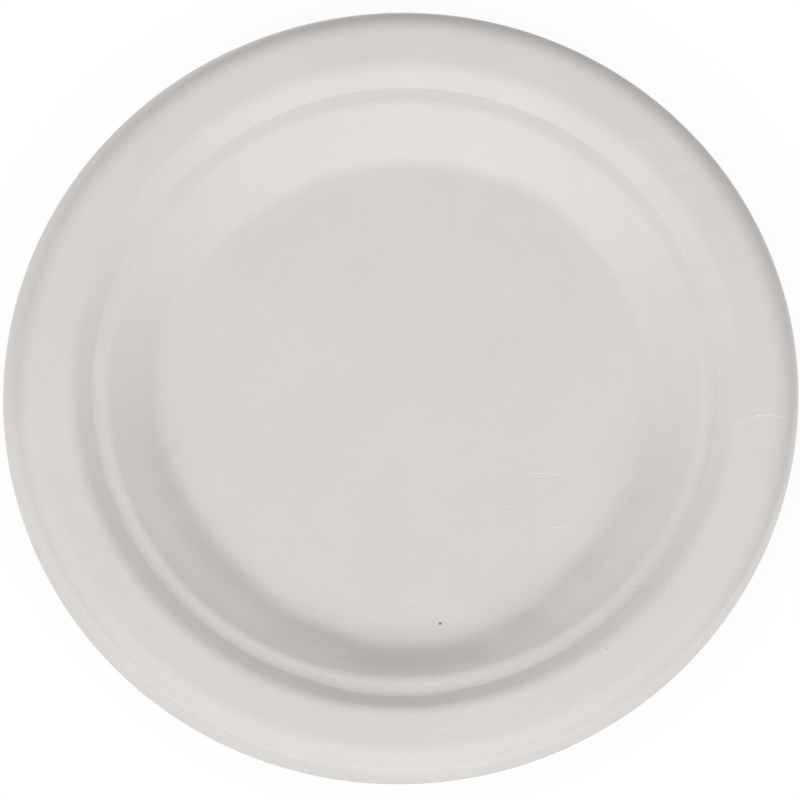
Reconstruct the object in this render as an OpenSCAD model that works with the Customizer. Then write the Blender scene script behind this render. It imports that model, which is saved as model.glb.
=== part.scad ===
// Round dinner plate of moulded plant fibre, pressed in one piece from wet pulp.
// The plate is one sheet of even thickness. Its upper skin follows a path of straight
// runs and round bends, from the middle of the well out to the brim, and the lower skin
// lies one thickness under it. The pressed sheet is turned about Z and then cut out by
// a round die, which sits a little off the plate's axis, as on the real plate.
// Z is up, and the origin is where the plate's axis meets the table.

/* [Plate] */
// Diameter of the round die that cuts the plate out
plate_d = 229; // [200:1:320]
// Thickness of the pressed sheet
sheet = 0.7; // [0.4:0.05:1.2]

/* [Well wall] */
// Rise of the wall from the well up to the shelf
wall_rise = 11.5; // [8:0.1:18]
// Slope of the wall's lower half, in degrees
wall_foot_angle = 44.5; // [38:0.5:60]
// Slope of the wall's upper half, in degrees
wall_top_angle = 37.5; // [28:0.5:44]
// Inside radius of the gentle bend halfway up the wall
wall_bend = 60; // [10:1:60]
// Inside radius of the round corner between the well and its wall
well_bend = 6.2; // [2:0.1:9]

/* [Shelf] */
// Width of the narrow shelf above the wall
shelf_w = 4.4; // [4:0.1:12]
// Slope of the shelf towards the well, in degrees
shelf_angle = 4; // [0:0.5:8]
// Inside radius of the edge between the wall and the shelf
shelf_bend = 4.7; // [1:0.1:6]

/* [Step] */
// Rise of the step from the shelf up to the rim
step_rise = 5.1; // [5:0.1:10]
// Slope of the step's lower half, in degrees
step_foot_angle = 48; // [42:0.5:65]
// Slope of the step's upper half, in degrees
step_top_angle = 41; // [34:0.5:48]
// Inside radius of the gentle bend halfway up the step
step_curve = 16; // [4:0.5:16]
// Inside radius at the foot of the step
step_bend = 1.9; // [0.5:0.1:4]

/* [Rim] */
// Width of the broad rim
rim_w = 14; // [9:0.1:24]
// Outward fall of the rim, in degrees
rim_angle = 0.4; // [0:0.1:6]
// Inside radius of the edge between the step and the rim
rim_bend = 6.3; // [1:0.1:6.3]

/* [Lip] */
// Drop of the lip that turns down round the rim
lip_drop = 4.5; // [3.8:0.1:8]
// Slope of the lip, in degrees
lip_angle = 55; // [35:0.5:65]
// Inside radius of the shoulder between the rim and the lip
lip_bend = 6.6; // [1:0.1:7.5]

/* [Brim] */
// Width of the narrow brim outside the lip, with the die on the plate's axis
brim_w = 2; // [1.9:0.1:8]
// Outward fall of the brim, in degrees
brim_angle = 9; // [0:0.5:15]
// Inside radius at the foot of the lip
brim_bend = 1.2; // [0.4:0.1:2]

/* [Die] */
// How far the die sits from the plate's axis
die_shift = 1.9; // [0:0.05:1.9]
// Direction of that shift, in degrees anticlockwise from +X
die_bearing = 227; // [0:1:359]

/* [Hidden] */
$fn = 180;
pulp_colour = [0.84, 0.82, 0.8];

// Sheet left round the die before it cuts, and its clearance above and below
waste = 2;

// Degrees of turn in each short chord of a bend
chord_angle = 4;

// Radii of the path's corners, worked out inwards from the brim
lip_foot_r = plate_d / 2 - brim_w;
lip_top_r = lip_foot_r - lip_drop / tan(lip_angle);
rim_r = lip_top_r - rim_w;
step_mid_r = rim_r - step_rise / 2 / tan(step_top_angle);
step_r = step_mid_r - step_rise / 2 / tan(step_foot_angle);
shelf_r = step_r - shelf_w;
wall_mid_r = shelf_r - wall_rise / 2 / tan(wall_top_angle);
well_r = wall_mid_r - wall_rise / 2 / tan(wall_foot_angle);
blank_r = plate_d / 2 + die_shift + waste;

// Heights of the same corners on the upper skin
well_z = sheet;
wall_mid_z = well_z + wall_rise / 2;
shelf_z = well_z + wall_rise;
step_z = shelf_z + shelf_w * tan(shelf_angle);
step_mid_z = step_z + step_rise / 2;
rim_z = step_z + step_rise;
lip_top_z = rim_z - rim_w * tan(rim_angle);
lip_foot_z = lip_top_z - lip_drop;
blank_z = lip_foot_z - (blank_r - lip_foot_r) * tan(brim_angle);

// The path of the upper skin, from the axis out to the edge of the blank
path = [
    [0, well_z],
    [well_r, well_z],
    [wall_mid_r, wall_mid_z],
    [shelf_r, shelf_z],
    [step_r, step_z],
    [step_mid_r, step_mid_z],
    [rim_r, rim_z],
    [lip_top_r, lip_top_z],
    [lip_foot_r, lip_foot_z],
    [blank_r, blank_z]
];

// Slope of each run of the path
slopes = [
    0,
    wall_foot_angle,
    wall_top_angle,
    shelf_angle,
    step_foot_angle,
    step_top_angle,
    -rim_angle,
    -lip_angle,
    -brim_angle
];

// Inside radius of the bend at the outer end of each run but the last
bends = [
    well_bend,
    wall_bend,
    shelf_bend,
    step_bend,
    step_curve,
    rim_bend,
    lip_bend,
    brim_bend
];

// Unit vector square to a run of the given slope, pointing up
function normal(slope) = [-sin(slope), cos(slope)];

// Turn of the path at a corner: upwards is positive, and the ends don't turn
function turn(i) = i > 0 && i < len(slopes) ? slopes[i] - slopes[i - 1] : 0;

// Radius of the upper skin at a corner, which is the outer side where the path turns down
function wanted_radius(i) = bends[i - 1] + (turn(i) < 0 ? sheet : 0);

// Length of run that a corner's bend takes up on either side
function wanted_reach(i) = turn(i) == 0 ? 0 : wanted_radius(i) * tan(abs(turn(i)) / 2);

// Share of the wanted bends that a run has room for
function room(i) =
    let (wanted = wanted_reach(i) + wanted_reach(i + 1))
    wanted == 0 ? 1 : min(1, norm(path[i + 1] - path[i]) / wanted);

// Radius that a corner's bend gets
function radius(i) = wanted_radius(i) * min(room(i - 1), room(i));

// Places along a bend of the upper skin, each with the normal there
function bend(i) =
    let (
        r = radius(i),
        side = sign(turn(i)),
        before = slopes[i - 1],
        reach = r * tan(abs(turn(i)) / 2),
        start = path[i] - reach * [cos(before), sin(before)],
        centre = start + side * r * normal(before),
        chords = max(1, ceil(abs(turn(i)) / chord_angle))
    )
    [for (k = [0 : chords])
        let (up = normal(before + turn(i) * k / chords))
        [centre - side * r * up, up]];

// The whole upper skin: its two ends, and all its bends between them
last = len(path) - 1;
skin = concat(
    [[path[0], normal(slopes[0])]],
    [for (i = [1 : last - 1]) each bend(i)],
    [[path[last], normal(slopes[last - 1])]]
);

// Cross-section of the sheet from the axis to the edge of the blank
module sheet_section() {
    upper = [for (s = skin) s[0]];
    lower = [for (i = [len(skin) - 1 : -1 : 0]) skin[i][0] - sheet * skin[i][1]];
    polygon(concat(upper, lower));
}

// The pressed blank, before it is cut out
module blank() {
    rotate_extrude() sheet_section();
}

// What the round die keeps
module die() {
    translate([die_shift * cos(die_bearing), die_shift * sin(die_bearing), -waste])
        cylinder(d = plate_d, h = rim_z + 2 * waste);
}

module plate() {
    color(pulp_colour)
        intersection() {
            blank();
            die();
        }
}

plate();
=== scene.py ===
"""Looks of a round dinner plate of moulded plant fibre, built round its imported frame.

The plate is one pressed sheet. Its section is turned into a skin, the skin is given its thickness,
and a round die cuts the sheet out. Three finishes dress it: the smooth pressed side, the side that
lay on the forming screen, and the cut edge. Loose fibres lie in the surface, as they do on the
real plate. All lengths are in metres and all angles in degrees, unless a name says otherwise.
"""

import logging
import math
import random
from dataclasses import dataclass, field
from enum import Enum
from itertools import pairwise

import bpy
from mathutils import Matrix, Vector


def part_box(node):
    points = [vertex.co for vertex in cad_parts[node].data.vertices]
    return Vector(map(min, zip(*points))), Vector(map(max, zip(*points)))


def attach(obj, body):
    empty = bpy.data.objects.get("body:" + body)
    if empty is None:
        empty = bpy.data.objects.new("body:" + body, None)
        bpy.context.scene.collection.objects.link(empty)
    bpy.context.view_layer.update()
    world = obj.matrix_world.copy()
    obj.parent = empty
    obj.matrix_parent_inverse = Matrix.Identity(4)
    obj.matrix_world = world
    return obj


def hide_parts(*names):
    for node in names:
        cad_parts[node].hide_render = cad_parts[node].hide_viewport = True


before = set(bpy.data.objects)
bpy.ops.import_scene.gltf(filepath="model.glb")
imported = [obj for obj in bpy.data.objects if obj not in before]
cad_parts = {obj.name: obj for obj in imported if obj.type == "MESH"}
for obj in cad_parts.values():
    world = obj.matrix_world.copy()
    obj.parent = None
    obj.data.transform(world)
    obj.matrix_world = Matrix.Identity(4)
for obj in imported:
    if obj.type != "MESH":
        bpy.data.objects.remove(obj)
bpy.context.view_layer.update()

PLATE_NODE = "plate"
BODY = "root"
MM = 0.001

Point = tuple[float, float]
Colour = tuple[float, float, float]

log = logging.getLogger("plate")


class Side(Enum):
    """The faces of the sheet, in the order of their material slots."""

    PRESSED = 0
    SCREEN = 1
    CUT = 2


def tan(angle: float) -> float:
    """Tangent of an angle in degrees."""
    return math.tan(math.radians(angle))


def heading(angle: float) -> Point:
    """Unit vector at an angle in degrees."""
    return math.cos(math.radians(angle)), math.sin(math.radians(angle))


def activate(piece: bpy.types.Object) -> None:
    """Deselects everything, then selects one object and makes it active.

    Args:
        piece: The object to work on.
    """
    bpy.ops.object.select_all(action="DESELECT")
    piece.select_set(True)
    bpy.context.view_layer.objects.active = piece


def trace(name: str, points: list[Vector]) -> bpy.types.Object:
    """Draws an open line of edges through some points, by extruding one vertex.

    Args:
        name: Name of the new object.
        points: The places that the line runs through.

    Returns:
        The new object, still in edit mode with its last vertex selected.
    """
    bpy.ops.object.select_all(action="DESELECT")
    bpy.ops.mesh.primitive_plane_add(size=MM)
    line = bpy.context.object
    line.name = name
    bpy.ops.object.mode_set(mode="EDIT")
    bpy.ops.mesh.select_mode(type="VERT")
    bpy.ops.mesh.select_all(action="SELECT")
    bpy.ops.mesh.merge(type="CENTER")
    bpy.ops.transform.translate(value=points[0])
    for here, there in pairwise(points):
        bpy.ops.mesh.extrude_region_move(TRANSFORM_OT_translate={"value": there - here})
    return line


@dataclass(frozen=True)
class Bend:
    """A corner of the section's path, rounded by an arc.

    Args:
        corner: The corner, as a radius and a height.
        before: Slope of the run that comes in.
        after: Slope of the run that goes out.
        radius: Radius of the arc on the upper skin.
    """

    corner: Point
    before: float
    after: float
    radius: float

    def reach(self) -> float:
        """Length of run that the arc takes up on either side of the corner."""
        return self.radius * abs(tan((self.after - self.before) / 2))

    def arc(self, step: float) -> list[Point]:
        """Works out the places along the arc.

        Args:
            step: Most degrees of turn from one place to the next.

        Returns:
            The places, from the run that comes in to the run that goes out.
        """
        turn = self.after - self.before
        side = math.copysign(1, turn)
        along = heading(self.before)
        start = [c - self.reach() * a for c, a in zip(self.corner, along)]
        arm = side * self.radius
        centre = (start[0] - arm * along[1], start[1] + arm * along[0])
        chords = max(1, math.ceil(abs(turn) / step))
        places = []
        for k in range(chords + 1):
            x, y = heading(self.before + turn * k / chords)
            places.append((centre[0] + arm * y, centre[1] - arm * x))
        return places


@dataclass
class Section:
    """The upper skin's path, from the middle of the well out to the edge of the blank.

    Its sizes have the names that the part's own source gives them. A bend that turns down has one
    sheet thickness more here, as the radius of the outer side, and the bends of the shelf, of the
    step's foot and of the rim are a little crisper.

    Args:
        plate_d: Diameter of the round die.
        die_shift: How far the die sits from the plate's axis.
        waste: Width of the sheet left outside the die.
        turn_step: Most degrees of turn between two places on a bend.
        run_step: Longest step along a straight run.
    """

    plate_d: float
    die_shift: float
    sheet: float = 0.7 * MM
    wall_rise: float = 11.5 * MM
    wall_foot_angle: float = 44.5
    wall_top_angle: float = 37.5
    wall_bend: float = 60.7 * MM
    well_bend: float = 6.2 * MM
    shelf_w: float = 4.4 * MM
    shelf_angle: float = 4
    shelf_bend: float = 4.4 * MM
    step_rise: float = 5.1 * MM
    step_foot_angle: float = 48
    step_top_angle: float = 41
    step_curve: float = 16.7 * MM
    step_bend: float = 0.8 * MM
    rim_w: float = 14 * MM
    rim_angle: float = 0.4
    rim_bend: float = 5.8 * MM
    lip_drop: float = 4.5 * MM
    lip_angle: float = 55
    lip_bend: float = 7.3 * MM
    brim_w: float = 2 * MM
    brim_angle: float = 9
    brim_bend: float = 1.2 * MM
    waste: float = 2 * MM
    turn_step: float = 3.5
    run_step: float = 2.2 * MM

    def foot_radius(self) -> float:
        """Radius of the corner between the lip and the brim."""
        return self.plate_d / 2 - self.brim_w

    def corners(self) -> list[Point]:
        """Works out the path's corners, inwards from the brim and upwards from the well.

        Returns:
            The corners from the axis outwards, with the edge of the blank last.
        """
        blank_r = self.plate_d / 2 + self.die_shift + self.waste
        lip_foot_r = self.foot_radius()
        lip_top_r = lip_foot_r - self.lip_drop / tan(self.lip_angle)
        rim_r = lip_top_r - self.rim_w
        step_mid_r = rim_r - self.step_rise / 2 / tan(self.step_top_angle)
        step_r = step_mid_r - self.step_rise / 2 / tan(self.step_foot_angle)
        shelf_r = step_r - self.shelf_w
        wall_mid_r = shelf_r - self.wall_rise / 2 / tan(self.wall_top_angle)
        well_r = wall_mid_r - self.wall_rise / 2 / tan(self.wall_foot_angle)
        shelf_z = self.sheet + self.wall_rise
        step_z = shelf_z + self.shelf_w * tan(self.shelf_angle)
        rim_z = step_z + self.step_rise
        lip_top_z = rim_z - self.rim_w * tan(self.rim_angle)
        lip_foot_z = lip_top_z - self.lip_drop
        return [
            (0, self.sheet),
            (well_r, self.sheet),
            (wall_mid_r, self.sheet + self.wall_rise / 2),
            (shelf_r, shelf_z),
            (step_r, step_z),
            (step_mid_r, step_z + self.step_rise / 2),
            (rim_r, rim_z),
            (lip_top_r, lip_top_z),
            (lip_foot_r, lip_foot_z),
            (blank_r, lip_foot_z - (blank_r - lip_foot_r) * tan(self.brim_angle)),
        ]

    def bends(self) -> list[Bend]:
        """Makes the path's bends, each no wider than its two runs have room for.

        Returns:
            One bend for each corner between the two ends.
        """
        slopes = [
            0,
            self.wall_foot_angle,
            self.wall_top_angle,
            self.shelf_angle,
            self.step_foot_angle,
            self.step_top_angle,
            -self.rim_angle,
            -self.lip_angle,
            -self.brim_angle,
        ]
        radii = [
            self.well_bend,
            self.wall_bend,
            self.shelf_bend,
            self.step_bend,
            self.step_curve,
            self.rim_bend,
            self.lip_bend,
            self.brim_bend,
        ]
        corners = self.corners()
        wanted = [
            Bend(corner, before, after, radius)
            for corner, (before, after), radius in zip(corners[1:-1], pairwise(slopes), radii)
        ]
        reaches = [0, *(bend.reach() for bend in wanted), 0]
        room = [
            min(1, math.dist(a, b) / (ra + rb))
            for (a, b), (ra, rb) in zip(pairwise(corners), pairwise(reaches))
        ]
        return [
            Bend(bend.corner, bend.before, bend.after, bend.radius * min(room[i], room[i + 1]))
            for i, bend in enumerate(wanted)
        ]

    def skin(self) -> list[Point]:
        """Works out the upper skin, with its long runs cut into short steps.

        Returns:
            Places from the axis out to the edge of the blank.
        """
        corners = self.corners()
        line = [corners[0]]
        for bend in self.bends():
            line += bend.arc(self.turn_step)
        line.append(corners[-1])
        places = [line[0]]
        for (r0, z0), (r1, z1) in pairwise(line):
            steps = max(1, round(math.dist((r0, z0), (r1, z1)) / self.run_step))
            places += [
                (r0 + (r1 - r0) * k / steps, z0 + (z1 - z0) * k / steps)
                for k in range(1, steps + 1)
            ]
        return places


class NodeTree:
    """Adds nodes to a shader tree and links them."""

    def __init__(self, tree: bpy.types.NodeTree) -> None:
        """Takes the tree to add to."""
        self.tree = tree

    def add(self, kind: str, settings: dict | None = None, **inputs: object) -> bpy.types.Node:
        """Adds one node.

        Args:
            kind: The node's type, such as ShaderNodeMath.
            settings: Properties to set on the node.
            **inputs: Values or output sockets, by the input's name with _ for a space, or by its
                index as i0 and i1.

        Returns:
            The new node.
        """
        node = self.tree.nodes.new(kind)
        for name, value in (settings or {}).items():
            setattr(node, name, value)
        for name, value in inputs.items():
            key = int(name[1:]) if name[1:].isdigit() else name.replace("_", " ")
            socket = node.inputs[key]
            if isinstance(value, bpy.types.NodeSocket):
                self.tree.links.new(value, socket)
            else:
                socket.default_value = value
        return node

    def math(self, operation: str, *terms: object, clamp: bool = False) -> bpy.types.NodeSocket:
        """Adds a Math node.

        Args:
            operation: Blender's name of the operation.
            *terms: Its operands, as numbers or sockets.
            clamp: Whether the result stays between 0 and 1.

        Returns:
            The node's output.
        """
        operands = {f"i{i}": term for i, term in enumerate(terms)}
        settings = {"operation": operation, "use_clamp": clamp}
        return self.add("ShaderNodeMath", settings, **operands).outputs[0]

    def vector(self, operation: str, *terms: object, **inputs: object) -> bpy.types.Node:
        """Adds a Vector Math node.

        Args:
            operation: Blender's name of the operation.
            *terms: Its operands, as vectors or sockets.
            **inputs: Its other inputs by name.

        Returns:
            The new node.
        """
        operands = {f"i{i}": term for i, term in enumerate(terms)}
        return self.add("ShaderNodeVectorMath", {"operation": operation}, **operands, **inputs)

    def noise(self, place: object, scale: object, **inputs: object) -> bpy.types.Node:
        """Adds a Noise Texture node.

        Args:
            place: Where it reads its place.
            scale: Its waves in a metre, as a number or a socket.
            **inputs: Its other inputs by name.

        Returns:
            The new node.
        """
        return self.add("ShaderNodeTexNoise", Vector=place, Scale=scale, **inputs)

    def ramp(
        self, value: object, low: float, high: float, start: float = 0, end: float = 1
    ) -> bpy.types.NodeSocket:
        """Maps a value smoothly from one range to another.

        Args:
            value: The value to map.
            low: Where the result reaches start.
            high: Where the result reaches end.
            start: Result at low.
            end: Result at high.

        Returns:
            The mapped value.
        """
        node = self.add("ShaderNodeMapRange", {"interpolation_type": "SMOOTHSTEP"}, Value=value)
        limits = {"From Min": low, "From Max": high, "To Min": start, "To Max": end}
        for name, number in limits.items():
            node.inputs[name].default_value = number
        return node.outputs["Result"]


def open_rays(nodes: NodeTree) -> bpy.types.NodeSocket:
    """Marks the rays that see the surround white: the camera's, and mirrored and refracted ones.

    Args:
        nodes: The tree to add to.

    Returns:
        1 for those rays and 0 for the others.
    """
    rays = nodes.add("ShaderNodeLightPath").outputs
    bent = nodes.math("MAXIMUM", rays["Is Glossy Ray"], rays["Is Transmission Ray"])
    return nodes.math("MAXIMUM", rays["Is Camera Ray"], bent)


class Effect:
    """A shader node group with named inputs and outputs, built once and placed in each material."""

    name = "effect"
    sockets: dict[str, object] = {}
    outputs: tuple[str, ...] = ()

    def __init__(self) -> None:
        """Builds the group."""
        self.group = bpy.data.node_groups.new(self.name, "ShaderNodeTree")
        self.group.interface.new_socket("Vector", in_out="INPUT", socket_type="NodeSocketVector")
        for label, value in self.sockets.items():
            kind = "NodeSocketVector" if isinstance(value, tuple) else "NodeSocketFloat"
            socket = self.group.interface.new_socket(label, in_out="INPUT", socket_type=kind)
            socket.default_value = value
        for label in self.outputs:
            self.group.interface.new_socket(label, in_out="OUTPUT", socket_type="NodeSocketFloat")
        self.nodes = NodeTree(self.group)
        self.given = self.nodes.add("NodeGroupInput").outputs
        results = self.build()
        self.nodes.add("NodeGroupOutput", **{f"i{i}": result for i, result in enumerate(results)})

    def build(self) -> list[bpy.types.NodeSocket]:
        """Adds the group's nodes, and returns one socket for each output."""
        raise NotImplementedError

    def place(
        self, nodes: NodeTree, vector: bpy.types.NodeSocket, **inputs: object
    ) -> bpy.types.Node:
        """Places the group in a material.

        Args:
            nodes: The material's tree.
            vector: Where the pattern reads its place.
            **inputs: Values of the group's own inputs.

        Returns:
            The group node.
        """
        return nodes.add("ShaderNodeGroup", {"node_tree": self.group}, Vector=vector, **inputs)


class Formation(Effect):
    """Cloudy thick and thin places, where the pulp settled unevenly."""

    name = "formation"
    sockets = {"Clouds per metre": 28.0, "Flocks per metre": 260.0}
    outputs = ("Clouds", "Flocks")

    def build(self) -> list[bpy.types.NodeSocket]:
        """Adds two noises, one of broad clouds and one of small flocks.

        Returns:
            The clouds and the flocks.
        """
        place = self.given["Vector"]
        broad, small = self.given["Clouds per metre"], self.given["Flocks per metre"]
        clouds = self.nodes.noise(place, broad, Detail=3.0, Roughness=0.55)
        flocks = self.nodes.noise(place, small, Detail=4.0, Roughness=0.6)
        return [clouds.outputs[0], flocks.outputs[0]]


class FibreWeb(Effect):
    """Short fibres that cross one another at all angles.

    Each of its layers has an angle and an offset, so that no two layers share their streaks.
    """

    name = "fibre_web"
    sockets = {"Fibres per metre": 1800.0, "Line width": 0.06}
    outputs = ("Fibres",)
    layers = ((17.0, 0.0), (78.0, 3.1), (139.0, 7.7))
    stretch = 6.0
    waviness = 0.003
    waves_per_metre = 150.0
    patches_per_metre = 900.0
    patch_range = (0.5, 0.68)

    def build(self) -> list[bpy.types.NodeSocket]:
        """Adds a layer of stretched streaks for each direction, and keeps the strongest.

        Returns:
            The mask of the fibres.
        """
        place = self._wander()
        strongest, *others = (self._layer(place, *layer) for layer in self.layers)
        for other in others:
            strongest = self.nodes.math("MAXIMUM", strongest, other)
        return [strongest]

    def _wander(self) -> bpy.types.NodeSocket:
        """Moves the place a little this way and that, so that no fibre runs quite straight.

        Returns:
            The moved place.
        """
        nodes, place = self.nodes, self.given["Vector"]
        waves = nodes.noise(place, self.waves_per_metre, Detail=1.0).outputs["Color"]
        centred = nodes.vector("SUBTRACT", waves, (0.5, 0.5, 0.5)).outputs[0]
        shift = nodes.vector("SCALE", centred, Scale=self.waviness).outputs[0]
        return nodes.vector("ADD", place, shift).outputs[0]

    def _layer(
        self, place: bpy.types.NodeSocket, angle: float, offset: float
    ) -> bpy.types.NodeSocket:
        """Adds the fibres that lie in one direction.

        Args:
            place: Where the pattern reads its place.
            angle: The way that they lie, anticlockwise from +X.
            offset: How far the pattern is moved along X and Y.

        Returns:
            The mask of those fibres.
        """
        nodes = self.nodes
        turned = nodes.add(
            "ShaderNodeMapping",
            {"vector_type": "TEXTURE"},
            Vector=place,
            Location=(offset, offset, 0.0),
            Rotation=(0.0, 0.0, math.radians(angle)),
            Scale=(self.stretch, 1.0, 1.0),
        ).outputs[0]
        streaks = nodes.noise(turned, self.given["Fibres per metre"], Detail=1.0).outputs[0]
        apart = nodes.math("ABSOLUTE", nodes.math("SUBTRACT", streaks, 0.5))
        share = nodes.math("DIVIDE", apart, self.given["Line width"])
        line = nodes.math("SUBTRACT", 1.0, share, clamp=True)
        patches = nodes.noise(turned, self.patches_per_metre, Detail=0.0).outputs[0]
        return nodes.math("MULTIPLY", line, nodes.ramp(patches, *self.patch_range))


class Screen(Effect):
    """The imprint of the woven forming screen: rows of round pits where the wires crossed."""

    name = "screen_imprint"
    sockets = {"Wires per metre": 1100.0}
    outputs = ("Height",)

    def build(self) -> list[bpy.types.NodeSocket]:
        """Multiplies two crossed waves.

        Returns:
            The height of the imprint, from 0 to 1.
        """
        nodes = self.nodes
        parts = nodes.add("ShaderNodeSeparateXYZ", Vector=self.given["Vector"]).outputs
        waves = []
        for axis in (parts["X"], parts["Y"]):
            wires = nodes.math("MULTIPLY", axis, self.given["Wires per metre"])
            wave = nodes.math("SINE", nodes.math("MULTIPLY", wires, math.tau))
            waves.append(nodes.math("MULTIPLY_ADD", wave, 0.5, 0.5))
        return [nodes.math("MULTIPLY", *waves)]


class Specks(Effect):
    """Sparse dark flecks of bark and pith."""

    name = "specks"
    sockets = {"Cells per metre": 55.0, "Radius": 0.012, "Share": 0.16}
    outputs = ("Mask",)

    def build(self) -> list[bpy.types.NodeSocket]:
        """Marks the middle of some cells.

        Returns:
            The mask of the flecks.
        """
        nodes, given = self.nodes, self.given
        cells = nodes.add(
            "ShaderNodeTexVoronoi", Vector=given["Vector"], Scale=given["Cells per metre"]
        ).outputs
        share = nodes.math("DIVIDE", cells["Distance"], given["Radius"])
        near = nodes.math("SUBTRACT", 1.0, share, clamp=True)
        chance = nodes.add("ShaderNodeSeparateColor", Color=cells["Color"]).outputs[0]
        return [nodes.math("MULTIPLY", near, nodes.math("LESS_THAN", chance, given["Share"]))]


class Spot(Effect):
    """One dark fleck at a given place."""

    name = "spot"
    sockets = {"Place": (0.0, 0.0, 0.0), "Radius": 0.0004}
    outputs = ("Mask",)
    hardness = 3.0

    def build(self) -> list[bpy.types.NodeSocket]:
        """Fades from the middle of the spot to its edge.

        Returns:
            The mask of the spot.
        """
        nodes, given = self.nodes, self.given
        apart = nodes.vector("DISTANCE", given["Vector"], given["Place"]).outputs["Value"]
        share = nodes.math("DIVIDE", apart, given["Radius"])
        faded = nodes.math("POWER", share, self.hardness)
        return [nodes.math("SUBTRACT", 1.0, faded, clamp=True)]


@dataclass(frozen=True)
class Fleck:
    """A dark fleck that the photograph shows.

    Args:
        place: Its place on the plate.
        radius: Its radius.
        strength: Share of the fleck's colour that shows in its middle.
    """

    place: tuple[float, float, float]
    radius: float
    strength: float


@dataclass(frozen=True)
class PulpFinish:
    """One face of the pressed sheet.

    Args:
        name: Name of the material.
        tone: Colour of a dense place.
        shade: Colour of a thin place.
        fibre_tone: Colour of a fibre that lies on top.
        roughness: Mean roughness.
        cloud_height: Height of the broad unevenness.
        flock_height: Height of the small unevenness.
        fibre_height: Height of the fibres.
        screen_height: Height of the screen's imprint.
        flecks: Dark flecks with a place of their own.
        fleck_colour: Colour of the flecks.
        speck_strength: Share of that colour that the scattered flecks show.
        specular: Strength of the mirrored light.
        fibre_share: Share of the fibres' own colour that shows.
        roughness_swing: Most that the roughness strays from its mean.
        cloud_range: The clouds' values where the sheet is thinnest and densest.
        flock_range: The flocks' values where it is smoothest and roughest.
    """

    name: str
    tone: Colour
    shade: Colour
    fibre_tone: Colour
    roughness: float = 0.88
    cloud_height: float = 0.05 * MM
    flock_height: float = 0.02 * MM
    fibre_height: float = 0.012 * MM
    screen_height: float = 0.0
    flecks: tuple[Fleck, ...] = ()
    fleck_colour: Colour = (0.07, 0.06, 0.05)
    speck_strength: float = 0.22
    specular: float = 0.28
    fibre_share: float = 0.45
    roughness_swing: float = 0.05
    cloud_range: Point = (0.32, 0.68)
    flock_range: Point = (0.25, 0.75)

    def material(self, effects: dict[type, Effect]) -> bpy.types.Material:
        """Builds the material.

        Args:
            effects: The shared node groups, by their class.

        Returns:
            The finished material.
        """
        material = bpy.data.materials.new(self.name)
        material.use_nodes = True
        nodes = NodeTree(material.node_tree)
        shader = material.node_tree.nodes["Principled BSDF"]
        place = nodes.add("ShaderNodeTexCoord").outputs["Object"]
        clouds, flocks = effects[Formation].place(nodes, place).outputs
        fibres = effects[FibreWeb].place(nodes, place).outputs[0]
        base = self._mix(nodes, nodes.ramp(clouds, *self.cloud_range), self.shade, self.tone)
        seen_fibres = nodes.math("MULTIPLY", fibres, self.fibre_share)
        base = self._mix(nodes, seen_fibres, base, self.fibre_tone)
        base = self._mix(nodes, self._dark(nodes, effects, place), base, self.fleck_colour)
        nodes.tree.links.new(base, shader.inputs["Base Color"])
        smoothest = self.roughness - self.roughness_swing
        roughest = self.roughness + self.roughness_swing
        rough = nodes.ramp(flocks, *self.flock_range, smoothest, roughest)
        nodes.tree.links.new(rough, shader.inputs["Roughness"])
        shader.inputs["Specular IOR Level"].default_value = self.specular
        self._relief(nodes, shader, clouds, flocks, fibres, effects, place)
        return material

    def _dark(
        self, nodes: NodeTree, effects: dict[type, Effect], place: bpy.types.NodeSocket
    ) -> bpy.types.NodeSocket:
        """Gathers the scattered flecks and those with a place of their own.

        Args:
            nodes: The material's tree.
            effects: The shared node groups, by their class.
            place: Where the patterns read their place.

        Returns:
            The share of the flecks' colour.
        """
        specks = effects[Specks].place(nodes, place).outputs[0]
        dark = nodes.math("MULTIPLY", specks, self.speck_strength)
        for fleck in self.flecks:
            spot = effects[Spot].place(nodes, place, Place=fleck.place, Radius=fleck.radius)
            seen = nodes.math("MULTIPLY", spot.outputs[0], fleck.strength)
            dark = nodes.math("MAXIMUM", dark, seen)
        return dark

    @staticmethod
    def _mix(nodes: NodeTree, share: object, first: object, second: object) -> bpy.types.NodeSocket:
        """Mixes two colours.

        Args:
            nodes: The material's tree.
            share: Share of the second colour, as a socket.
            first: The first colour, as a value or a socket.
            second: The second colour, as a value or a socket.

        Returns:
            The mixed colour.
        """
        node = nodes.add("ShaderNodeMix", {"data_type": "RGBA"})
        for index, value in ((0, share), (6, first), (7, second)):
            if isinstance(value, bpy.types.NodeSocket):
                nodes.tree.links.new(value, node.inputs[index])
            else:
                node.inputs[index].default_value = (*value, 1.0)
        return node.outputs[2]

    def _relief(
        self,
        nodes: NodeTree,
        shader: bpy.types.Node,
        clouds: bpy.types.NodeSocket,
        flocks: bpy.types.NodeSocket,
        fibres: bpy.types.NodeSocket,
        effects: dict[type, Effect],
        place: bpy.types.NodeSocket,
    ) -> None:
        """Adds up the heights and feeds them to the shader's normal as one bump.

        Args:
            nodes: The material's tree.
            shader: The shader that takes the normal.
            clouds: Broad unevenness.
            flocks: Small unevenness.
            fibres: Mask of the fibres.
            effects: The shared node groups.
            place: Where the patterns read their place.
        """
        height = nodes.math("MULTIPLY", clouds, self.cloud_height)
        height = nodes.math("MULTIPLY_ADD", flocks, self.flock_height, height)
        height = nodes.math("MULTIPLY_ADD", fibres, self.fibre_height, height)
        if self.screen_height:
            imprint = effects[Screen].place(nodes, place).outputs[0]
            height = nodes.math("MULTIPLY_ADD", imprint, self.screen_height, height)
        bump = nodes.add("ShaderNodeBump", Height=height, Distance=1.0, Strength=1.0)
        nodes.tree.links.new(bump.outputs[0], shader.inputs["Normal"])


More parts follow.
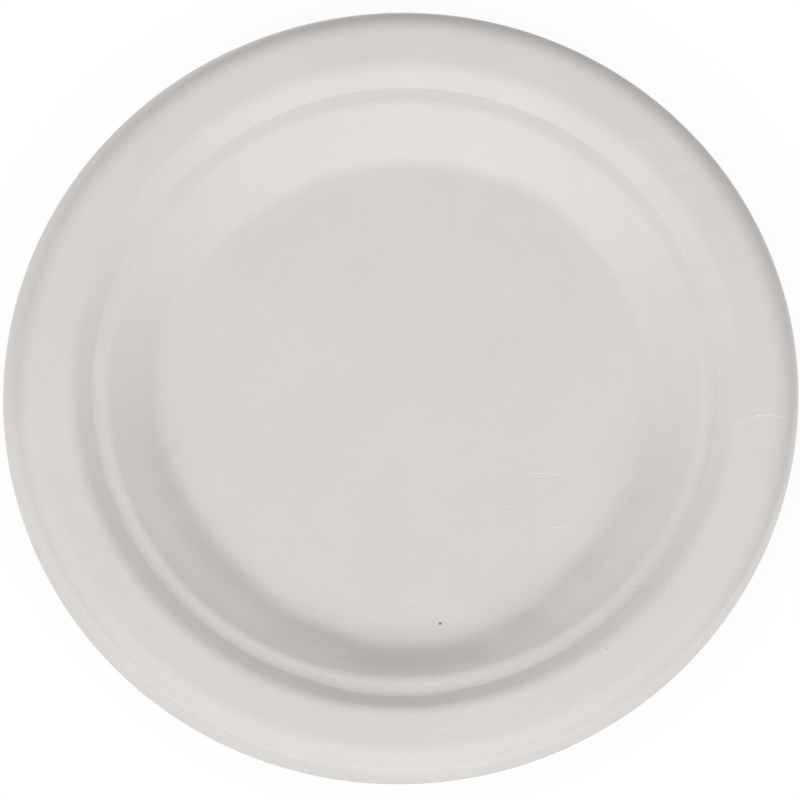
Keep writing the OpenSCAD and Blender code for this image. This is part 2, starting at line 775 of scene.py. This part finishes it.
FLECKS = (
    Fleck(place=(4.5 * MM, -67.9 * MM, 0.7 * MM), radius=0.5 * MM, strength=0.9),
    Fleck(place=(31.5 * MM, 24.5 * MM, 0.7 * MM), radius=0.3 * MM, strength=0.18),
    Fleck(place=(-17.1 * MM, 14.8 * MM, 0.7 * MM), radius=0.3 * MM, strength=0.18),
    Fleck(place=(50.9 * MM, -82.8 * MM, 17.3 * MM), radius=0.5 * MM, strength=0.22),
    Fleck(place=(61.6 * MM, -64.6 * MM, 12.3 * MM), radius=0.5 * MM, strength=0.2),
    Fleck(place=(86.4 * MM, -73.5 * MM, 12.7 * MM), radius=0.4 * MM, strength=0.2),
    Fleck(place=(78.1 * MM, -82.1 * MM, 12.7 * MM), radius=0.4 * MM, strength=0.2),
)

FINISHES = {
    Side.PRESSED: PulpFinish(
        name="pulp_pressed_side",
        tone=(0.712, 0.683, 0.66),
        shade=(0.69, 0.662, 0.64),
        fibre_tone=(0.76, 0.735, 0.71),
        flecks=FLECKS,
    ),
    Side.SCREEN: PulpFinish(
        name="pulp_screen_side",
        tone=(0.7, 0.67, 0.645),
        shade=(0.67, 0.64, 0.612),
        fibre_tone=(0.75, 0.725, 0.7),
        roughness=0.93,
        screen_height=0.03 * MM,
        fibre_height=0.03 * MM,
        flock_height=0.04 * MM,
    ),
    Side.CUT: PulpFinish(
        name="pulp_cut_edge",
        tone=(0.74, 0.715, 0.69),
        shade=(0.68, 0.65, 0.62),
        fibre_tone=(0.78, 0.755, 0.73),
        roughness=0.95,
        fibre_height=0.04 * MM,
        flock_height=0.06 * MM,
    ),
}

FIBRE_FINISH = PulpFinish(
    name="pulp_loose_fibre",
    tone=(0.88, 0.85, 0.82),
    shade=(0.85, 0.82, 0.79),
    fibre_tone=(0.88, 0.85, 0.82),
    roughness=0.8,
    speck_strength=0.0,
)

# Lighter than the sheet's own pulp: a painted highlight along the ridge of the press line on the
# brim.
RIDGE_HIGHLIGHT_FINISH = PulpFinish(
    name="pulp_brim_ridge_painted_highlight",
    tone=(0.79, 0.762, 0.737),
    shade=(0.77, 0.742, 0.717),
    fibre_tone=(0.8, 0.77, 0.745),
    speck_strength=0.0,
)


class Ring(Enum):
    """The rings of the skin that stray in places, each by its first and last corner."""

    FOOT = (1, 1)
    LOWER_WALL = (1, 2)
    STEP_FOOT = (4, 4)


@dataclass(frozen=True)
class Nudge:
    """A place where a ring of the skin lies off its circle.

    Args:
        bearing: Where it is, anticlockwise from +X.
        span: How far round it reaches on either side before it fades.
        shift: How far the ring lies outwards.
        ring: Which ring it is.
        fade: How far from there the skin still follows.
    """

    bearing: float
    span: float
    shift: float
    ring: Ring = Ring.FOOT
    fade: float = 13 * MM


@dataclass
class PulpPlate:
    """The plate itself, as one closed sheet.

    Args:
        section: The upper skin's path.
        die_centre: Where the die's axis lies, off the plate's own.
        segments: Faces round the plate.
        swell: Height of the sheet's gentle unevenness.
        swell_size: Width of its waves.
        fibre_room: Height left above the rim for the fibres that lie on it.
        die_play: How far inside the die's own circle the sheet is cut.
        crease_angle: Least angle between two faces that shows as a crease.
        weld: How near two places of the turned skin are, where they become one.
        nudges: Where the skin's rings lie off their circles.
        name: Name of the piece.
        piece: The piece itself, once it is begun.
    """

    section: Section
    die_centre: Vector
    segments: int = 288
    swell: float = 0.1 * MM
    swell_size: float = 38 * MM
    fibre_room: float = 0.15 * MM
    die_play: float = 0.005 * MM
    crease_angle: float = 40
    weld: float = 0.005 * MM
    nudges: tuple[Nudge, ...] = (
        Nudge(bearing=269, span=11, shift=3.3 * MM),
        Nudge(bearing=213, span=20, shift=-MM, ring=Ring.LOWER_WALL, fade=9 * MM),
        Nudge(bearing=213, span=13, shift=-0.9 * MM, ring=Ring.LOWER_WALL, fade=9 * MM),
        Nudge(bearing=318, span=17, shift=-MM, ring=Ring.LOWER_WALL, fade=9 * MM),
        Nudge(bearing=318, span=10, shift=-0.9 * MM, ring=Ring.LOWER_WALL, fade=9 * MM),
        Nudge(bearing=95, span=30, shift=-MM),
        Nudge(bearing=267, span=17, shift=0.3 * MM, ring=Ring.STEP_FOOT, fade=6 * MM),
        Nudge(bearing=263.5, span=9.5, shift=0.3 * MM, ring=Ring.STEP_FOOT, fade=6 * MM),
        Nudge(bearing=264, span=6, shift=0.25 * MM, ring=Ring.STEP_FOOT, fade=6 * MM),
    )
    name: str = "pulp_sheet"
    piece: bpy.types.Object = field(init=False)

    def build(self) -> bpy.types.Object:
        """Models the sheet.

        Returns:
            The finished piece.
        """
        self._turn_skin()
        self._nudge_rings()
        self._swell_skin()
        self._give_thickness()
        self._cut_out()
        return self.piece

    def dress(self, effects: dict[type, Effect]) -> None:
        """Gives each side of the sheet its finish."""
        for side, slot in zip(Side, self.piece.material_slots):
            slot.material = FINISHES[side].material(effects)

    def _turn_skin(self) -> None:
        """Turns the section round the plate's axis into the upper skin."""
        path = [Vector((r, 0, z)) for r, z in self.section.skin()]
        self.piece = trace(self.name, path)
        bpy.ops.mesh.select_all(action="SELECT")
        bpy.ops.mesh.spin(steps=self.segments, angle=math.tau, center=(0, 0, 0), axis=(0, 0, 1))
        bpy.ops.mesh.select_all(action="SELECT")
        bpy.ops.mesh.remove_doubles(threshold=self.weld)
        bpy.ops.mesh.normals_make_consistent(inside=False)
        bpy.ops.object.mode_set(mode="OBJECT")
        if self.piece.data.polygons[0].normal.z < 0:
            bpy.ops.object.mode_set(mode="EDIT")
            bpy.ops.mesh.flip_normals()
            bpy.ops.object.mode_set(mode="OBJECT")

    def _nudge_rings(self) -> None:
        """Moves stretches of the skin's rings in or out, each with the skin round it."""
        corners = self.section.corners()
        reach = self.section.run_step
        for nudge in self.nudges:
            first, last = (corners[i][0] for i in nudge.ring.value)
            bpy.ops.object.mode_set(mode="EDIT")
            bpy.ops.mesh.select_all(action="DESELECT")
            bpy.ops.object.mode_set(mode="OBJECT")
            x, y = heading(nudge.bearing)
            outward = Vector((x, y, 0))
            for vertex in self.piece.data.vertices:
                flat = vertex.co.xy.to_3d()
                near = first - reach < flat.length < max(last, first + reach)
                vertex.select = near and math.degrees(flat.angle(outward)) < nudge.span
            bpy.ops.object.mode_set(mode="EDIT")
            bpy.ops.transform.translate(
                value=outward * nudge.shift,
                use_proportional_edit=True,
                proportional_edit_falloff="SMOOTH",
                proportional_size=nudge.fade,
            )
            bpy.ops.object.mode_set(mode="OBJECT")

    def _swell_skin(self) -> None:
        """Gives the sheet its gentle unevenness, kept within the plate's own height."""
        sheet = self.section.sheet
        rise = max(z for _, z in self.section.skin()) - sheet
        share = (rise - self.swell - self.fibre_room) / rise
        activate(self.piece)
        bpy.ops.object.mode_set(mode="EDIT")
        bpy.ops.mesh.select_all(action="SELECT")
        bpy.ops.transform.resize(value=(1, 1, share), center_override=(0, 0, sheet))
        bpy.ops.transform.translate(value=(0, 0, self.swell / 2))
        bpy.ops.object.mode_set(mode="OBJECT")
        texture = bpy.data.textures.new("swell", "CLOUDS")
        texture.noise_scale = self.swell_size
        texture.noise_depth = 1
        modifier = self.piece.modifiers.new("swell", "DISPLACE")
        modifier.texture = texture
        modifier.texture_coords = "LOCAL"
        modifier.direction = "Z"
        modifier.mid_level = 0.5
        modifier.strength = self.swell
        bpy.ops.object.modifier_apply(modifier=modifier.name)

    def _give_thickness(self) -> None:
        """Thickens the skin downwards into a closed sheet, with a crisp cut edge."""
        for _ in Side:
            self.piece.data.materials.append(None)
        modifier = self.piece.modifiers.new("sheet", "SOLIDIFY")
        modifier.thickness = self.section.sheet
        modifier.offset = -1
        modifier.use_even_offset = True
        modifier.use_quality_normals = True
        modifier.material_offset = Side.SCREEN.value
        modifier.material_offset_rim = Side.CUT.value
        bpy.ops.object.modifier_apply(modifier=modifier.name)

    def _cut_out(self) -> None:
        """Cuts the sheet out of the blank with a round die, which leaves a crisp edge."""
        bpy.ops.mesh.primitive_cylinder_add(
            vertices=self.segments,
            radius=self.section.plate_d / 2 - self.die_play,
            depth=self.section.plate_d,
            location=self.die_centre,
        )
        die = bpy.context.object
        for _ in Side:
            die.data.materials.append(None)
        bpy.ops.object.mode_set(mode="EDIT")
        bpy.ops.mesh.select_all(action="SELECT")
        bpy.context.object.active_material_index = Side.CUT.value
        bpy.ops.object.material_slot_assign()
        bpy.ops.object.mode_set(mode="OBJECT")
        activate(self.piece)
        modifier = self.piece.modifiers.new("cut", "BOOLEAN")
        modifier.operation = "INTERSECT"
        modifier.object = die
        modifier.solver = "EXACT"
        bpy.ops.object.modifier_apply(modifier=modifier.name)
        bpy.data.objects.remove(die)
        bpy.ops.object.shade_smooth_by_angle(angle=math.radians(self.crease_angle))


@dataclass(frozen=True)
class Strand:
    """A loose fibre that lies in the plate's upper skin.

    Args:
        points: The places that it runs through, in X and Y.
        width: Its thickness.
    """

    points: tuple[Point, ...]
    width: float = 0.12 * MM


def strand(width: float, *points: Point) -> Strand:
    """Makes a strand from a width and places that are given in millimetres."""
    return Strand(tuple((x * MM, y * MM) for x, y in points), width * MM)


def arc_strand(width: float, radius: float, start: float, end: float, step: float = 1) -> Strand:
    """Makes a strand that runs round the plate's axis.

    Args:
        width: Its thickness in millimetres.
        radius: Its distance from the axis in millimetres.
        start: Bearing where it starts.
        end: Bearing where it ends.
        step: Longest turn from one of its places to the next.

    Returns:
        The strand.
    """
    chords = math.ceil((end - start) / step)
    ways = [heading(start + (end - start) * k / chords) for k in range(chords + 1)]
    return strand(width, *((radius * x, radius * y) for x, y in ways))


@dataclass
class LooseFibres:
    """Fibres or fine ridges that stand a little out of the surface, all in one piece.

    Args:
        sheet: The piece that they lie on.
        seen: The fibres or ridges that the photograph shows.
        reach: How far from the axis the others start.
        scattered: How many more lie about the plate.
        lengths: Shortest and longest of those.
        widths: Thinnest and thickest of those.
        curl: Most that one of them turns along its length.
        chords: Straight pieces in each of them.
        seed: Start of the draws that place them.
        sunk: Share of a fibre's width that lies in the sheet.
        drop: Height from which the sheet is probed.
        name: Name of the piece.
    """

    sheet: bpy.types.Object
    seen: tuple[Strand, ...]
    reach: float
    scattered: int = 110
    lengths: Point = (1.5 * MM, 5 * MM)
    widths: Point = (0.05 * MM, 0.09 * MM)
    curl: float = 80
    chords: int = 8
    seed: int = 7
    sunk: float = 0.62
    drop: float = 0.1
    name: str = "surface_fibres"

    def build(self) -> bpy.types.Object:
        """Models all the fibres and joins them.

        Returns:
            The finished piece.
        """
        strands = [*self.seen, *self._scatter()]
        pieces = [self._lay(f"{self.name}_{i}", fibre) for i, fibre in enumerate(strands)]
        activate(pieces[0])
        for piece in pieces:
            piece.select_set(True)
        bpy.ops.object.join()
        joined = bpy.context.object
        joined.name = self.name
        bpy.ops.object.shade_smooth()
        return joined

    def _scatter(self) -> list[Strand]:
        """Draws the places and shapes of the fibres that the photograph doesn't fix.

        Returns:
            The drawn fibres.
        """
        draw = random.Random(self.seed)
        strands = []
        for _ in range(self.scattered):
            radius = self.reach * math.sqrt(draw.random())
            x, y = heading(draw.uniform(0, 360))
            points = [(radius * x, radius * y)]
            direction = draw.uniform(0, 360)
            curl = draw.uniform(-self.curl, self.curl)
            step = draw.uniform(*self.lengths) / self.chords
            for k in range(self.chords):
                x, y = heading(direction + curl * k / self.chords)
                points.append((points[-1][0] + x * step, points[-1][1] + y * step))
            strands.append(Strand(tuple(points), draw.uniform(*self.widths)))
        return strands

    def _lay(self, name: str, fibre: Strand) -> bpy.types.Object:
        """Lays one fibre on the sheet as a thin round tube, partly sunk into it.

        Args:
            name: Name of the new piece.
            fibre: The fibre to lay.

        Returns:
            The new piece.
        """
        places = []
        for x, y in fibre.points:
            _, place, normal, _ = self.sheet.ray_cast((x, y, self.drop), (0, 0, -1))
            places.append(place + normal * fibre.width * (0.5 - self.sunk))
        line = trace(name, places)
        bpy.ops.object.mode_set(mode="OBJECT")
        activate(line)
        bpy.ops.object.convert(target="CURVE")
        curve = bpy.context.object
        curve.data.bevel_depth = fibre.width / 2
        curve.data.bevel_resolution = 1
        curve.data.use_fill_caps = True
        bpy.ops.object.convert(target="MESH")
        return bpy.context.object


@dataclass
class PhotoCamera:
    """The camera at the photograph's place.

    Args:
        place: Where it stands.
        aim: The point that lies in the middle of the picture.
        roll: How far it leans, anticlockwise as seen from behind it.
        lens: Focal length in millimetres.
        sensor: Width of the sensor in millimetres.
        clip_end: Farthest distance that it sees.
    """

    place: Vector
    aim: Vector
    roll: float
    lens: float
    sensor: float = 36
    clip_end: float = 20

    def build(self) -> bpy.types.Object:
        """Places the camera and makes it the scene's own.

        Returns:
            The camera.
        """
        level = (self.place - self.aim).to_track_quat("Z", "Y").to_matrix()
        turn = level @ Matrix.Rotation(math.radians(self.roll), 3, "Z")
        bpy.ops.object.camera_add(location=self.place, rotation=turn.to_euler())
        camera = bpy.context.object
        camera.data.sensor_width = self.sensor
        camera.data.lens = self.lens
        camera.data.clip_end = self.clip_end
        bpy.context.scene.camera = camera
        return camera


@dataclass(frozen=True)
class Lamp:
    """A round soft lamp that faces the plate.

    Args:
        name: What it does.
        bearing: Where it stands, anticlockwise from +X.
        elevation: Its height above the table, as an angle.
        power: Its power in watts.
        size: Its diameter.
        distance: How far it stands from the plate.
    """

    name: str
    bearing: float
    elevation: float
    power: float
    size: float = 1.25
    distance: float = 3

    def build(self) -> None:
        """Places the lamp."""
        x, y = heading(self.bearing)
        out, up = heading(self.elevation)
        place = Vector((x * out, y * out, up)) * self.distance
        facing = place.to_track_quat("Z", "Y").to_euler()
        bpy.ops.object.light_add(type="AREA", location=place, rotation=facing)
        lamp = bpy.context.object
        lamp.name = self.name
        lamp.data.shape = "DISK"
        lamp.data.size = self.size
        lamp.data.energy = self.power
        lamp.visible_camera = False


@dataclass
class Studio:
    """Plain soft light, a white floor that keeps the plate's shadow, and a white surround.

    Args:
        lamps: The lamps.
        sky: Strength of the surround as a light.
        floor_size: Width of the floor.
        floor_drop: How far the floor lies below the plate.
        floor_colour: The floor's own colour, which throws light back up at the plate.
        shadow_share: Share of the floor's own colour in what is seen, which shows the shadow.
        floor_glow: Strength of the white that makes up the rest.
    """

    lamps: tuple[Lamp, ...]
    sky: float = 0.408
    floor_size: float = 12
    floor_drop: float = 0.2 * MM
    floor_colour: Colour = (0.25, 0.25, 0.25)
    shadow_share: float = 0.28
    floor_glow: float = 1.303

    def build(self) -> None:
        """Builds the lamps, the floor and the world."""
        for lamp in self.lamps:
            lamp.build()
        self._build_floor()
        self._build_world()
        bpy.context.scene.view_settings.view_transform = "Standard"

    def _build_floor(self) -> None:
        """Lays the floor, which is seen white but for the plate's shadow."""
        bpy.ops.mesh.primitive_plane_add(size=self.floor_size)
        floor = bpy.context.object
        floor.name = "floor"
        bpy.ops.object.mode_set(mode="EDIT")
        bpy.ops.mesh.select_all(action="SELECT")
        bpy.ops.transform.translate(value=(0, 0, -self.floor_drop))
        bpy.ops.object.mode_set(mode="OBJECT")
        material = bpy.data.materials.new("floor_paper")
        material.use_nodes = True
        nodes = NodeTree(material.node_tree)
        shader = material.node_tree.nodes["Principled BSDF"]
        shader.inputs["Base Color"].default_value = (*self.floor_colour, 1)
        shader.inputs["Roughness"].default_value = 1
        shader.inputs["Specular IOR Level"].default_value = 0
        glow = nodes.add("ShaderNodeEmission", Strength=self.floor_glow)
        seen = nodes.math("MULTIPLY", open_rays(nodes), 1 - self.shadow_share)
        mix = nodes.add("ShaderNodeMixShader", i0=seen, i1=shader.outputs[0], i2=glow.outputs[0])
        surface = material.node_tree.nodes["Material Output"].inputs["Surface"]
        nodes.tree.links.new(mix.outputs[0], surface)
        floor.data.materials.append(material)

    def _build_world(self) -> None:
        """Makes the surround white where it is seen, and dim as a light."""
        world = bpy.data.worlds.new("surround")
        bpy.context.scene.world = world
        world.use_nodes = True
        nodes = NodeTree(world.node_tree)
        background = world.node_tree.nodes["Background"]
        background.inputs["Color"].default_value = (1, 1, 1, 1)
        strength = nodes.math("MULTIPLY_ADD", open_rays(nodes), 1 - self.sky, self.sky)
        nodes.tree.links.new(strength, background.inputs["Strength"])


SEEN_STRANDS = (
    strand(0.24, (92, -20.5), (95.1, -20.6), (97.9, -19.2)),
    strand(0.26, (97.7, -19.3), (99.9, -18.7), (102.8, -18.8), (105.3, -19.3), (107, -19.5)),
    strand(0.24, (106.8, -19.4), (108.4, -20.5), (109.7, -21.3)),
    strand(0.16, (98.6, -17), (100.9, -16.8)),
    strand(0.2, (82.2, 56.3), (83.3, 56.2)),
    strand(0.22, (85.9, 55.8), (87.7, 57.1), (89.6, 57.6), (91.3, 57)),
    strand(0.22, (80.4, 50.3), (79.3, 49.4)),
    strand(0.16, (72.2, 65.4), (73.9, 65.7), (75.6, 65.6)),
    strand(0.2, (33.6, -26), (37.1, -26.2), (40.5, -26.6), (42.8, -27.3)),
    strand(0.16, (39.9, -27.9), (39.7, -30.3)),
    strand(0.16, (37, -30), (36.6, -32.3)),
    strand(0.16, (25.8, -36.7), (28.2, -36.6)),
    strand(0.2, (39.2, -42.5), (41.5, -42.6), (43.8, -42.5)),
    strand(0.18, (-5, -60.3), (-2.6, -60.4), (-2.1, -61.5)),
    strand(0.16, (-4.2, -101.5), (-3.1, -101.4)),
    strand(0.18, (0.2, -101.9), (2.5, -101.8), (4.9, -102.2), (5.5, -102.7)),
    strand(0.16, (9.5, -102.8), (10.5, -102.7)),
    strand(0.16, (18.5, -101), (20.6, -100.8)),
    strand(0.16, (21, -96.7), (22.3, -96.7), (22.9, -97.7)),
    strand(0.2, (82.5, -27), (82, -29.9)),
    strand(0.2, (85, -20.3), (84.5, -23.6)),
    strand(0.3, (-82.5, -71.6), (-82.1, -71.7)),
    strand(0.3, (-72.2, -72.6), (-71.8, -72.6)),
    strand(0.24, (-79, -75.5), (-78.7, -75.5)),
    strand(0.24, (-80.1, -81.2), (-79.8, -81.3)),
    strand(0.26, (67.7, 30.1), (68.2, 30.1)),
    strand(0.2, (63.1, 57.6), (63.9, 57.6)),
    strand(0.24, (56.7, -66.3), (56.9, -66.1)),
)

PRESS_LINE = (
    arc_strand(0.44, 114.1, 221, 224),
    arc_strand(0.5, 114, 227.5, 233.3),
    arc_strand(0.5, 113.6, 234, 241.5),
    arc_strand(0.4, 113.7, 243, 249),
)

CAMERA = PhotoCamera(
    place=Vector((0, -0.399, 1.5526)),
    aim=Vector((-1.54 * MM, -0.69 * MM, 0)),
    roll=-5.1,
    lens=248.6,
)

LAMPS = (
    Lamp("key_front_left", bearing=225, elevation=35, power=32.2),
    Lamp("key_front_right", bearing=315, elevation=35, power=26.8),
    Lamp("front", bearing=270, elevation=35, power=5.4),
    Lamp("fill_left", bearing=180, elevation=35, power=8.6),
    Lamp("top_back", bearing=90, elevation=62, power=5.6),
    Lamp("low_right", bearing=0, elevation=13, power=5.7),
    Lamp("low_back_left", bearing=120, elevation=13, power=9.4),
)


def main() -> None:
    """Builds the plate, its fibres, the camera and the studio, in that order."""
    logging.basicConfig(level=logging.INFO, format="%(name)s: %(message)s")
    low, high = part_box(PLATE_NODE)
    die_centre = Vector(((high[0] + low[0]) / 2, (high[1] + low[1]) / 2, 0))
    section = Section(plate_d=high[0] - low[0], die_shift=die_centre.length)
    effects = {kind: kind() for kind in (Formation, FibreWeb, Screen, Specks, Spot)}

    plate = PulpPlate(section, die_centre)
    sheet = plate.build()
    plate.dress(effects)
    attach(sheet, BODY)
    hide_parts(PLATE_NODE)
    log.info("%s: %d faces", sheet.name, len(sheet.data.polygons))

    reach = section.foot_radius() - section.brim_w
    fibres = LooseFibres(sheet, SEEN_STRANDS, reach)
    ridge = LooseFibres(sheet, PRESS_LINE, reach, scattered=0, sunk=0.8, name="brim_ridge")
    # The ridge's finish is lighter than the sheet, a painted highlight along the press line.
    for layer, finish in ((fibres, FIBRE_FINISH), (ridge, RIDGE_HIGHLIGHT_FINISH)):
        piece = layer.build()
        piece.data.materials.append(finish.material(effects))
        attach(piece, BODY)
        log.info("%s: %d faces", piece.name, len(piece.data.polygons))

    camera = CAMERA.build()
    Studio(LAMPS).build()
    log.info("camera at %s", tuple(round(c, 3) for c in camera.location))


if __name__ == "__main__":
    main()
